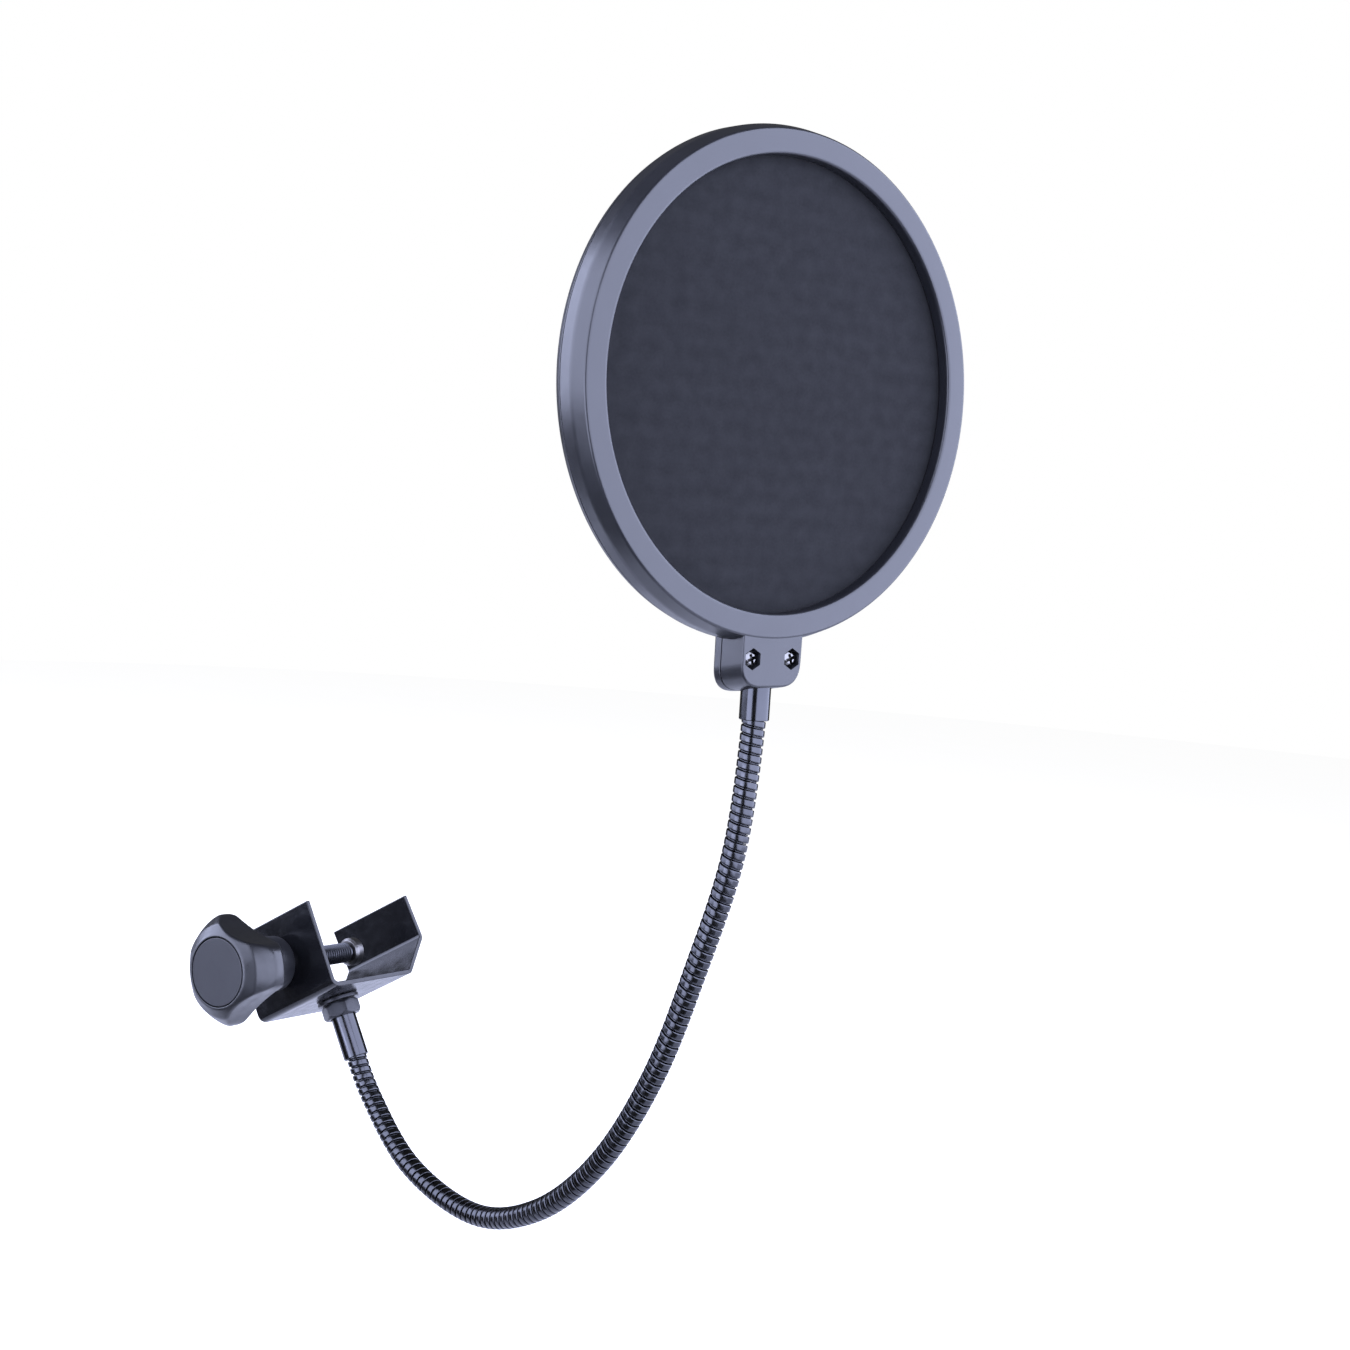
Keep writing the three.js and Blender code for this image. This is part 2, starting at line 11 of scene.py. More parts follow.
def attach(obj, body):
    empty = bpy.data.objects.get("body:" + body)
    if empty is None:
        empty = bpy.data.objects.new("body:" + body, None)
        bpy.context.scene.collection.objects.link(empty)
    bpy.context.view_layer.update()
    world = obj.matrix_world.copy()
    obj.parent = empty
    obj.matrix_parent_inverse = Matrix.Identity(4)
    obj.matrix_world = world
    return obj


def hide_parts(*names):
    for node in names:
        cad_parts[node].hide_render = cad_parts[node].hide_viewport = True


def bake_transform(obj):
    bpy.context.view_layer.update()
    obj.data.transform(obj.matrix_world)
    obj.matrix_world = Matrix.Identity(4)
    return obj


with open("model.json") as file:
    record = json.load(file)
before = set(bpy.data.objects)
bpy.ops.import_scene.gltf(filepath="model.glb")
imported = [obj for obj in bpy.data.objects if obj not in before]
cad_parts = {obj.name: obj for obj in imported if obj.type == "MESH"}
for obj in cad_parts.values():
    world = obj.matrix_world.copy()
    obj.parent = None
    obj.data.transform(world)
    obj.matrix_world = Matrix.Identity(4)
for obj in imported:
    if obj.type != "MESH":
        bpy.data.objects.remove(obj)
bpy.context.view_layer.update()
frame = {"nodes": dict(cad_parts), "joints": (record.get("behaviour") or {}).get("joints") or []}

# ---------- places ----------
# Shapes are drawn in millimetres in the frame of their group, then set in place in metres.
MM = 0.001


def turn(axis, degrees):
    return Matrix.Rotation(math.radians(degrees), 4, axis)


STUD_Y = -25.7
CLAMP = turn("Y", -31) @ Matrix.Scale(MM, 4)
FIXING = CLAMP @ Matrix.Translation((0, STUD_Y, 0))
HEAD_AT = Vector((203, -66, 219.7))
HEAD_TURN = turn("Z", -19.8) @ turn("Y", 1.4) @ turn("X", 4)
HEAD = Matrix.Translation(HEAD_AT * MM) @ HEAD_TURN @ Matrix.Scale(MM, 4)
WORLD = Matrix.Scale(MM, 4)  # for what is drawn in the whole object's own frame
SMALL_STEPS = 64  # steps round a small turned piece
HOOP_STEPS = 256
FULL_TURN = 2 * math.pi
GAP = 0.3  # between pieces that touch on the real object
WELD = 1e-5  # distance at which points of a mesh are merged


# ---------- mesh building ----------
def rounded(corners, closed, steps=5):
    """Points of a line whose corners (x, y, fillet) are rounded. Both ends of an open line stay sharp."""
    points = []
    count = len(corners)
    for i, (x, y, fillet) in enumerate(corners):
        at_end = not closed and i in (0, count - 1)
        if at_end or fillet == 0:
            points.append((x, y))
            continue
        corner = Vector((x, y))
        back = Vector(corners[i - 1][:2]) - corner
        on = Vector(corners[(i + 1) % count][:2]) - corner
        half = back.angle(on) / 2
        reach = min(fillet / math.tan(half), 0.49 * back.length, 0.49 * on.length)
        start = corner + back.normalized() * reach
        end = corner + on.normalized() * reach
        for t in np.linspace(0, 1, steps + 1):
            point = start * (1 - t) ** 2 + corner * 2 * t * (1 - t) + end * t ** 2
            points.append((point.x, point.y))
    return points


def spin(rows, axis, steps=SMALL_STEPS, closed=False, first=0.0):
    """Points and faces of a shape round an axis. A row is (radius, along), and its radius may be an
    array with one value for each step. The angle runs from the first other axis to the second."""
    angles = math.radians(first) + np.arange(steps) * FULL_TURN / steps
    points, rings = [], []
    for radius, along in rows:
        if np.ndim(radius) == 0 and radius == 0:
            rings.append([len(points)])
            sides = [(0.0, 0.0)]
        else:
            rings.append(list(range(len(points), len(points) + steps)))
            sides = zip(radius * np.cos(angles), radius * np.sin(angles))
        for a, b in sides:
            points.append({"x": (along, a, b), "y": (a, along, b), "z": (a, b, along)}[axis])
    pairs = list(zip(rings, rings[1:]))
    if closed:
        pairs.append((rings[-1], rings[0]))
    faces = []
    for low, high in pairs:
        for i in range(steps):
            j = (i + 1) % steps
            corners = [low[i % len(low)], low[j % len(low)], high[j % len(high)], high[i % len(high)]]
            corners = list(dict.fromkeys(corners))
            if len(corners) > 2:
                faces.append(corners)
    return points, faces


def turned(corners, axis, steps=SMALL_STEPS, closed=False):
    return spin(rounded(corners, closed), axis, steps, closed)


def loft(loops):
    """Points and faces of a closed shape through loops of equally many points, capped at both ends."""
    size = len(loops[0])
    points = [p for loop in loops for p in loop]
    faces = [list(range(size)), list(range(len(points) - size, len(points)))]
    for k in range(len(loops) - 1):
        for i in range(size):
            j = (i + 1) % size
            faces.append([k * size + i, k * size + j, (k + 1) * size + j, (k + 1) * size + i])
    return points, faces


def made(name, shape, place):
    """A mesh object of points and faces, with its faces pointing out."""
    mesh = bpy.data.meshes.new(name)
    mesh.from_pydata([tuple(map(float, p)) for p in shape[0]], [], shape[1])
    work = bmesh.new()
    work.from_mesh(mesh)
    bmesh.ops.remove_doubles(work, verts=work.verts, dist=WELD)
    bmesh.ops.recalc_face_normals(work, faces=work.faces)
    work.to_mesh(mesh)
    work.free()
    mesh.transform(place)
    obj = bpy.data.objects.new(name, mesh)
    bpy.context.scene.collection.objects.link(obj)
    return obj


def combined(obj, others, operation):
    """obj joined with the others, or cut by them. The others are used up."""
    for other in others:
        modifier = obj.modifiers.new("combine", "BOOLEAN")
        modifier.object = other
        modifier.operation = operation
        modifier.solver = "EXACT"
        evaluated = obj.evaluated_get(bpy.context.evaluated_depsgraph_get())
        mesh = bpy.data.meshes.new_from_object(evaluated)
        obj.modifiers.clear()
        obj.data = mesh
        bpy.data.objects.remove(other)


def finished(obj, material, sharp=38):
    """Smooth shading with sharp edges kept, and flat faces that shade flat."""
    obj.data.materials.clear()
    obj.data.materials.append(material)
    obj.data.shade_smooth()
    obj.data.set_sharp_from_angle(angle=math.radians(sharp))
    weighted = obj.modifiers.new("flat_faces", "WEIGHTED_NORMAL")
    weighted.keep_sharp = True


def fitted(obj, material, body, nodes, sharp=38):
    """Finishes a rigid piece and sets it on its CAD body in place of its CAD nodes."""
    finished(obj, material, sharp)
    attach(obj, body)
    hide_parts(*nodes)


# ---------- materials ----------
FIRST_COLOR = 6  # colour sockets of a Mix node
SECOND_COLOR = 7
MIXED_COLOR = 2
MOTTLE_SCALE = 90
GLOSS_SCALE = 260


def new_material(name):
    material = bpy.data.materials.new(name)
    material.use_nodes = True
    return material, material.node_tree, material.node_tree.nodes["Principled BSDF"]


def noise(tree, coordinates, scale, detail, low, high):
    """Noise between low and high. Its features are about 1 / scale wide, in the coordinates' unit."""
    texture = tree.nodes.new("ShaderNodeTexNoise")
    texture.inputs["Scale"].default_value = scale
    texture.inputs["Detail"].default_value = detail
    tree.links.new(coordinates, texture.inputs["Vector"])
    spread = tree.nodes.new("ShaderNodeMapRange")
    spread.inputs["From Min"].default_value = 0.3
    spread.inputs["From Max"].default_value = 0.7
    spread.inputs["To Min"].default_value = low
    spread.inputs["To Max"].default_value = high
    tree.links.new(texture.outputs["Fac"], spread.inputs["Value"])
    return spread.outputs["Result"]


def blended(tree, factor, first, second):
    """A colour between two, by a factor."""
    mix = tree.nodes.new("ShaderNodeMix")
    mix.data_type = "RGBA"
    tree.links.new(factor, mix.inputs["Factor"])
    for socket, value in ((mix.inputs[FIRST_COLOR], first), (mix.inputs[SECOND_COLOR], second)):
        if isinstance(value, bpy.types.NodeSocket):
            tree.links.new(value, socket)
        else:
            socket.default_value = (*value, 1)
    return mix.outputs[MIXED_COLOR]


def bumped(tree, shader, height, strength, distance):
    bump = tree.nodes.new("ShaderNodeBump")
    bump.inputs["Strength"].default_value = strength
    bump.inputs["Distance"].default_value = distance
    tree.links.new(height, bump.inputs["Height"])
    tree.links.new(bump.outputs["Normal"], shader.inputs["Normal"])


def hard_material(name, color, roughness, metallic=0.0, specular=0.5, mottle=0.12, spread=0.06,
                  grain=2500, grain_depth=0.00002):
    """Plastic, paint or metal with mottled colour, uneven gloss and a fine grain."""
    material, tree, shader = new_material(name)
    place = tree.nodes.new("ShaderNodeTexCoord").outputs["Object"]
    darker = [c * (1 - mottle) for c in color]
    lighter = [c * (1 + mottle) for c in color]
    tree.links.new(blended(tree, noise(tree, place, MOTTLE_SCALE, 4, 0, 1), darker, lighter),
                   shader.inputs["Base Color"])
    tree.links.new(noise(tree, place, GLOSS_SCALE, 5, roughness - spread, roughness + spread),
                   shader.inputs["Roughness"])
    shader.inputs["Metallic"].default_value = metallic
    shader.inputs["Specular IOR Level"].default_value = specular
    bumped(tree, shader, noise(tree, place, grain, 2, 0, 1), 0.35, grain_depth)
    return material


def fabric_material():
    """Fine nylon knit in millimetres: crossed threads, specks, and the faint moire of two layers."""
    material, tree, shader = new_material("nylon_mesh")
    place = tree.nodes.new("ShaderNodeTexCoord").outputs["UV"]
    thread_pitch = 0.34
    wave_turns = 20  # a wave texture's phase at a distance of 1, at scale 1
    waves = []
    for direction in ("X", "Y"):
        wave = tree.nodes.new("ShaderNodeTexWave")
        wave.bands_direction = direction
        wave.inputs["Scale"].default_value = FULL_TURN / wave_turns / thread_pitch
        wave.inputs["Distortion"].default_value = 0.4
        wave.inputs["Detail Scale"].default_value = 0.3
        tree.links.new(place, wave.inputs["Vector"])
        waves.append(wave.outputs["Fac"])
    crossed = tree.nodes.new("ShaderNodeMath")
    crossed.operation = "MULTIPLY"
    tree.links.new(waves[0], crossed.inputs[0])
    tree.links.new(waves[1], crossed.inputs[1])
    weave = blended(tree, crossed.outputs["Value"], (0.0062, 0.0063, 0.0069), (0.0078, 0.008, 0.0088))
    moire = tree.nodes.new("ShaderNodeTexWave")
    moire.wave_type = "RINGS"
    moire.inputs["Scale"].default_value = 0.045
    moire.inputs["Distortion"].default_value = 5
    moire.inputs["Detail"].default_value = 1
    moire.inputs["Detail Scale"].default_value = 0.05
    tree.links.new(place, moire.inputs["Vector"])
    faint = tree.nodes.new("ShaderNodeMapRange")
    faint.inputs["To Min"].default_value = 0
    faint.inputs["To Max"].default_value = 0.16
    tree.links.new(moire.outputs["Fac"], faint.inputs["Value"])
    shaded = blended(tree, faint.outputs["Result"], weave, (0.016, 0.0163, 0.0178))
    speckled = blended(tree, noise(tree, place, 1.1, 2, 0, 0.4), shaded, (0.0125, 0.0128, 0.0138))
    patches = noise(tree, place, 0.035, 4, 0, 0.3)
    tree.links.new(blended(tree, patches, speckled, (0.0055, 0.0056, 0.0062)), shader.inputs["Base Color"])
    tree.links.new(noise(tree, place, 0.2, 3, 0.82, 0.96), shader.inputs["Roughness"])
    shader.inputs["Sheen Weight"].default_value = 0.05
    shader.inputs["Sheen Roughness"].default_value = 0.5
    shader.inputs["Specular IOR Level"].default_value = 0.15
    bumped(tree, shader, crossed.outputs["Value"], 0.1, 0.00003)
    return material


PAINT = hard_material("gloss_black_paint", (0.005, 0.0052, 0.006), 0.2, specular=0.3, grain=900,
                      grain_depth=0.000025)
ZINC = hard_material("zinc_plate", (0.16, 0.155, 0.15), 0.34, metallic=1.0, grain=1600)
BRIGHT_NICKEL = hard_material("bright_nickel", (0.15, 0.147, 0.142), 0.2, metallic=1.0, grain=1600)
BLACK_STEEL = hard_material("black_steel", (0.018, 0.0185, 0.021), 0.32, metallic=0.5, grain=1800)
BLACK_THREAD = hard_material("black_thread", (0.05, 0.051, 0.056), 0.34, metallic=0.9, grain=1800)
BLACK_NICKEL = hard_material("black_nickel", (0.05, 0.051, 0.055), 0.17, metallic=1.0, mottle=0.08,
                             spread=0.03, grain=1500, grain_depth=0.0000015)
COIL = hard_material("coil_black_nickel", (0.05, 0.051, 0.055), 0.22, metallic=1.0, mottle=0.1,
                     spread=0.04, grain=1500, grain_depth=0.0000015)
KNOB_PLASTIC = hard_material("knob_plastic", (0.008, 0.0083, 0.0094), 0.33, grain=2600)
CAP_PLASTIC = hard_material("cap_plastic", (0.0105, 0.0108, 0.0125), 0.5, specular=0.4, grain=2600)
HOOP_PLASTIC = hard_material("hoop_plastic", (0.01, 0.0104, 0.0122), 0.31, mottle=0.08, spread=0.03,
                             grain=3200, grain_depth=0.000012)
FABRIC = fabric_material()

# ---------- clamp bracket ----------
SHEET = 1.8
BASE_BOTTOM = -17.4
BASE_TOP = BASE_BOTTOM + SHEET
WALL_INSIDE = SHEET - 48.5
TUBE_R = 8
BRACKET_LENGTH = 41
EDGE = 0.28  # rounding of the cut edges
END_FILLET = 0.45
BEND_INSIDE = 2
BEND_OUTSIDE = BEND_INSIDE + SHEET
BUSH_HOLE_R = 5.3
BOLT_HOLE_R = 3.2


def sideways(line, distance):
    """Corners of a bent line moved to its right by a distance."""
    sides = []
    for a, b in zip(line, line[1:]):
        along = (b - a).normalized()
        sides.append((a + Vector((along.y, -along.x)) * distance, along))
    points = [sides[0][0]]
    for (p, u), (q, v) in zip(sides, sides[1:]):
        gap = q - p
        points.append(p + u * ((gap.x * v.y - gap.y * v.x) / (u.x * v.y - u.y * v.x)))
    last, along = sides[-1]
    points.append(last + along * (line[-1] - line[-2]).length)
    return points


def bracket_outline():
    """The bracket's section across the gripped tube, in Y and Z."""
    slope = TUBE_R * math.sqrt(2)
    lean = math.radians(5)

    def jaw(z):
        return (TUBE_R - z * math.sin(lean)) / math.cos(lean)

    kink = (TUBE_R - slope * math.cos(lean)) / (math.cos(lean) + math.sin(lean))
    wall_top, jaw_top = 16.9, 14.3
    inside = [Vector(p) for p in (
        (WALL_INSIDE, wall_top), (WALL_INSIDE, BASE_TOP), (BASE_TOP + slope, BASE_TOP),
        (jaw(kink), kink), (jaw(jaw_top), jaw_top))]
    outside = sideways(inside, SHEET)
    inner_fillets = (END_FILLET, BEND_INSIDE, BEND_INSIDE, BEND_INSIDE, END_FILLET)
    outer_fillets = (END_FILLET, BEND_OUTSIDE, BEND_OUTSIDE, BEND_OUTSIDE, END_FILLET)
    corners = [(*p, f) for p, f in zip(inside, inner_fillets)]
    corners += [(*p, f) for p, f in zip(reversed(outside), reversed(outer_fillets))]
    return np.array(rounded(corners, True, 8))


def inset(outline, distance):
    """A closed outline moved towards its inside."""
    along = np.roll(outline, -1, axis=0) - np.roll(outline, 1, axis=0)
    along /= np.linalg.norm(along, axis=1)[:, None]
    aside = np.stack([-along[:, 1], along[:, 0]], axis=1)
    x, y = outline.T
    turns_left = np.sum(x * np.roll(y, -1) - y * np.roll(x, -1)) > 0
    return outline + aside * (distance if turns_left else -distance)


def bent_sheet(outline, low, high, edge, steps=4):
    """An outline of bent sheet in Y and Z extruded along X, with rounded rims. The first half of the
    outline is one side of the sheet, and the second half is its other side, backwards."""
    rim = [(low + edge * (1 - math.cos(t)), edge * (1 - math.sin(t)))
           for t in np.linspace(0, math.pi / 2, steps + 1)]
    rim += [(low + high - x, shrink) for x, shrink in reversed(rim)]
    points, faces = loft([[(x, y, z) for y, z in inset(outline, shrink)] for x, shrink in rim])
    size = len(outline)
    faces = faces[2:]
    for base in (0, len(points) - size):
        faces += [[base + i, base + i + 1, base + size - 2 - i, base + size - 1 - i]
                  for i in range(size // 2 - 1)]
    return points, faces


def rod(radius, low, high, axis, steps=SMALL_STEPS, first=0.0):
    return spin([(0, low), (radius, low), (radius, high), (0, high)], axis, steps, False, first)


half_length = BRACKET_LENGTH / 2
BUSH_CUTTER = (-60, -40)  # both ends of a cutter, past the surfaces that it cuts
BOLT_CUTTER = (-25, -10)
bracket = made("bracket", bent_sheet(bracket_outline(), -half_length, half_length, EDGE), CLAMP)
combined(bracket, [
    made("bush_hole", rod(BUSH_HOLE_R, *BUSH_CUTTER, "y"), CLAMP),
    made("bolt_hole", rod(BOLT_HOLE_R, *BOLT_CUTTER, "z"), FIXING),
], "DIFFERENCE")
fitted(bracket, PAINT, "clamp", ["clamp_bracket"])

# ---------- clamp screw ----------
SCREW_BORE_R = 4.25
FLANGE_FACE = WALL_INSIDE - SHEET - GAP
FLANGE_BACK = FLANGE_FACE - 2.2
LIP = WALL_INSIDE + 1.2
fitted(made("bush", turned([
    (SCREW_BORE_R, FLANGE_BACK, 0.3), (6, FLANGE_BACK, 0.5), (6, FLANGE_FACE, 0.15),
    (5, FLANGE_FACE, 0), (5, LIP, 0.3), (SCREW_BORE_R, LIP, 0.15),
], "y", closed=True), CLAMP), ZINC, "clamp", ["thread_bush"])

PAD_R = 5.5
PAD_FACE = -TUBE_R - GAP
PAD_BACK = PAD_FACE - 4
SOCKET_R = 2.5
SOCKET_FLOOR = PAD_BACK + 2.5
fitted(made("pad", turned([
    (0, SOCKET_FLOOR, 0), (SOCKET_R, SOCKET_FLOOR, 0), (SOCKET_R, PAD_BACK, 0.15), (4.5, PAD_BACK, 0.3),
    (PAD_R, PAD_BACK + 1, 0.4), (PAD_R, PAD_FACE, 0.35), (0, PAD_FACE, 0),
], "y"), CLAMP), ZINC, "pad", ["pressure_pad"])

THREAD_PITCH = 1.25
THREAD_DEPTH = 0.62
SCREW_R = 3.95


def threaded(start, end, steps=32):
    """A helical V thread along Y between two places, with run-outs at both ends."""
    profile = [(0.0, 1.0), (0.16, 1.0), (0.5, 0.0), (0.62, 0.0), (0.96, 1.0)]
    rows = []
    turns = int((end - start) / THREAD_PITCH) + 3
    for number in range(-2, turns):
        rows += [(start + (number + share) * THREAD_PITCH, height) for share, height in profile]
    points, faces = [(0, start, 0), (0, end, 0)], []
    first = len(points)
    for along, height in rows:
        for k in range(steps + 1):
            angle = FULL_TURN * k / steps
            at = min(max(along + THREAD_PITCH * k / steps, start), end)
            run_out = min(1.0, min(at - start, end - at) / THREAD_PITCH)
            radius = SCREW_R - THREAD_DEPTH * (1 - height * run_out)
            points.append((radius * math.cos(angle), at, radius * math.sin(angle)))
    width = steps + 1
    for row in range(len(rows) - 1):
        for k in range(steps):
            a = first + row * width + k
            faces.append([a, a + 1, a + 1 + width, a + width])
    last = first + (len(rows) - 1) * width
    for k in range(steps):
        faces.append([0, first + k, first + k + 1])
        faces.append([1, last + k + 1, last + k])
    return points, faces


KNOB_FACE = -82.6
SCREW_START = KNOB_FACE + 6
SCREW_TIP = PAD_BACK - GAP
SPIGOT_R = SOCKET_R - GAP
SPIGOT_TIP = SOCKET_FLOOR - GAP
SPIGOT_ROOT = SCREW_TIP - 2
screw = made("screw", threaded(SCREW_START, SCREW_TIP), CLAMP)
combined(screw, [made("spigot", turned([
    (0, SPIGOT_ROOT, 0), (SPIGOT_R, SPIGOT_ROOT, 0), (SPIGOT_R, SPIGOT_TIP, 0.4), (0, SPIGOT_TIP, 0),
], "y", 32), CLAMP)], "UNION")
fitted(screw, BLACK_THREAD, "screw", ["clamp_screw"], 30)

# ---------- knob ----------
KNOB_STEPS = 240
KNOB_TURN = -17
KNOB_R = 21.4
VALLEY_R = 14.8  # between two lobes
CAP_R = 12.5
CAP_ROOM = CAP_R + GAP
CAP_DEPTH = 1.6
SOFTNESS = 0.7  # rounding between the knob's dome and its sides


def knob_sides():
    """Radius of the three-cornered outline at each step round the knob."""
    tip = math.radians(20)
    angles, radii = [], []
    pull = 2 * VALLEY_R - KNOB_R * math.cos(math.radians(60) - tip)
    start = Vector((math.cos(tip), math.sin(tip))) * KNOB_R
    end = Vector((math.cos(math.radians(120) - tip), math.sin(math.radians(120) - tip))) * KNOB_R
    middle = Vector((math.cos(math.radians(60)), math.sin(math.radians(60)))) * pull
    for t in np.linspace(0, 1, 60):
        point = start * (1 - t) ** 2 + middle * 2 * t * (1 - t) + end * t ** 2
        angles.append(math.degrees(math.atan2(point.y, point.x)))
        radii.append(point.length)
    steps = np.arange(KNOB_STEPS) * 360 / KNOB_STEPS
    raw = np.interp((steps - KNOB_TURN) % 120, [0, *angles, 120], [KNOB_R, *radii, KNOB_R])
    reach = 7
    weights = np.hanning(2 * reach + 3)[1:-1]
    weights /= weights.sum()
    return sum(w * np.roll(raw, shift) for w, shift in zip(weights, range(-reach, reach + 1)))


def softer(a, b, softness=SOFTNESS):
    """The smaller of two, rounded where they meet."""
    near = np.maximum(softness - np.abs(a - b), 0) / softness
    return np.minimum(a, b) - near * near * softness / 4


def knob_shape():
    """Rows of the knob from its face to the end of its hub, then up the screw's hole."""
    sides = knob_sides()
    dome = np.array(rounded([(0, 13.4, 0), (2.6, 17.3, 1.2), (6, 19.7, 3), (9.5, 21.7, 3), (12, 22, 2),
                             (14, 20.2, 1.5), (14.6, 15.2, 0.4)], False))
    seat = CAP_DEPTH + GAP
    rows = [(0, seat), (CAP_ROOM, seat), (CAP_ROOM, 0.15), (CAP_ROOM + 0.15, 0.0), (13.25, 0.0)]
    for depth in np.concatenate([np.linspace(0.12, 13.6, 36), np.linspace(13.8, 14.6, 8)]):
        rows.append((softer(sides, np.full(KNOB_STEPS, np.interp(depth, dome[:, 0], dome[:, 1]))), depth))
    hub_end = 30.2
    hole_end = SCREW_START - KNOB_FACE - GAP
    hub = rounded([(VALLEY_R, 14.65, 0), (11.6, 15.6, 0.6), (11.3, 17.5, 1), (10.3, hub_end, 0.7),
                   (SCREW_BORE_R, hub_end, 0.2), (SCREW_BORE_R, hole_end, 0), (0, hole_end, 0)], False)
    rows += [(softer(sides, np.full(KNOB_STEPS, hub[0][0])), hub[0][1]), *hub[1:]]
    return rows


fitted(made("clamp_knob", spin([(r, KNOB_FACE + a) for r, a in knob_shape()], "y", KNOB_STEPS), CLAMP),
       KNOB_PLASTIC, "screw", ["knob"], 50)
CAP_FACE = KNOB_FACE + 0.05
CAP_BACK = KNOB_FACE + CAP_DEPTH
fitted(made("cap", turned([
    (0, CAP_FACE, 0), (CAP_R, CAP_FACE, 0.4), (CAP_R, CAP_BACK, 0.1), (0, CAP_BACK, 0),
], "y", 128), CLAMP), CAP_PLASTIC, "screw", ["knob_cap"])

# ---------- gooseneck fixing ----------
WASHER_R = 8
WASHER_TOP = BASE_BOTTOM - GAP
WASHER_BOTTOM = WASHER_TOP - 1.4
NUT_TOP = WASHER_BOTTOM - GAP
NUT_BOTTOM = NUT_TOP - 5.6
NUT_FLATS = 13
NUT_COUNTERBORE_R = 5.05
NUT_COUNTERBORE_END = NUT_BOTTOM + 1.8
BOLT_R = 2.9
BOLT_END = NUT_COUNTERBORE_END + GAP
BOLT_HEAD_R = 4.6
BOLT_SEAT = BASE_TOP + GAP
fitted(made("bolt", turned([
    (0, BOLT_END, 0), (BOLT_R, BOLT_END, 0.3), (BOLT_R, BOLT_SEAT, 0), (BOLT_HEAD_R, BOLT_SEAT, 0.2),
    (BOLT_HEAD_R, BOLT_SEAT + 0.7, 0.3), (3.4, BOLT_SEAT + 2.1, 1.2), (0, BOLT_SEAT + 2.4, 0),
], "z"), FIXING), ZINC, "clamp", ["neck_bolt"])
fitted(made("flat_washer", turned([
    (BOLT_HOLE_R, WASHER_BOTTOM, 0.15), (WASHER_R, WASHER_BOTTOM, 0.35),
    (WASHER_R, WASHER_TOP, 0.35), (BOLT_HOLE_R, WASHER_TOP, 0.15),
], "z", closed=True), FIXING), BLACK_STEEL, "clamp", ["washer"])


def nut_rows(flats, low, high, steps):
    """Rows of a hexagon with rounded corners, chamfered at both ends like a turned nut."""
    angles = np.degrees(np.arange(steps) * FULL_TURN / steps)
    hexagon = flats / 2 / np.cos(np.radians((angles + 30) % 60 - 30))
    corner = flats / 2 / math.cos(math.radians(30))
    rows = []
    for share in (0, 0.1, 0.25, 0.5, 1):
        cone = flats / 2 * 0.985 + (corner - flats / 2 + 0.15) * share
        rows.append((softer(hexagon, np.full(steps, cone), 0.25), 1.1 * share))
    below = [(radius, low + depth) for radius, depth in rows]
    above = [(radius, high - depth) for radius, depth in reversed(rows)]
    return below + above


NUT_STEPS = 120
nut_bore = [(BOLT_HOLE_R, NUT_TOP), (BOLT_HOLE_R, NUT_COUNTERBORE_END),
            (NUT_COUNTERBORE_R, NUT_COUNTERBORE_END), (NUT_COUNTERBORE_R, NUT_BOTTOM)]
nut_shape = nut_rows(NUT_FLATS, NUT_BOTTOM, NUT_TOP, NUT_STEPS) + nut_bore
fitted(made("neck_nut", spin(nut_shape, "z", NUT_STEPS, True), FIXING),
       BLACK_STEEL, "clamp", ["hex_nut"], 32)


NECK_INSERT = 11
NECK_BORE_R = 4.2


def ferrule_corners(radius, closed_end, open_end, flange=()):
    """A sleeve whose bore is open at its lower end."""
    floor = open_end + NECK_INSERT + GAP
    return [(0, floor, 0), (NECK_BORE_R, floor, 0), (NECK_BORE_R, open_end, 0.25), (radius, open_end, 0.55),
            *flange, (radius, closed_end, 0.3), (0, closed_end, 0)]


FERRULE_END = -41.4
fitted(made("sleeve_low", turned(ferrule_corners(4.75, NUT_BOTTOM + 1.5, FERRULE_END), "z"), FIXING),
       BLACK_NICKEL, "clamp", ["lower_ferrule"])

# ---------- filter head ----------
SPLIT = 10.4  # depth at which the two halves meet
DEPTH = 14.3
OPENING_R = 70.2
GROOVE_INSIDE = 72.2  # the groove that holds the fabrics' edges
GROOVE_OUTSIDE = 75.6
GROOVE_FRONT = -2
GROOVE_BACK = -12.3
FERRULE_AXIS = -7.2
front_ring = [
    (OPENING_R, 0, 1.3), (78, 0, 1.2), (79.75, -5.2, 6), (79.85, -SPLIT, 0.3), (GROOVE_OUTSIDE, -SPLIT, 0),
    (GROOVE_OUTSIDE, GROOVE_FRONT, 0), (GROOVE_INSIDE, GROOVE_FRONT, 0),
    (GROOVE_INSIDE, -4.3, 0), (OPENING_R, -4.3, 0.2),
]
rear_start = -SPLIT - GAP
rear_ring = [
    (79.8, rear_start, 0.3), (79.1, -13.3, 1.5), (78.2, -DEPTH, 0.8), (OPENING_R, -DEPTH, 1),
    (OPENING_R, -11.8, 0.2), (GROOVE_INSIDE, -11.8, 0),
    (GROOVE_INSIDE, GROOVE_BACK, 0), (GROOVE_OUTSIDE, GROOVE_BACK, 0), (GROOVE_OUTSIDE, rear_start, 0),
]


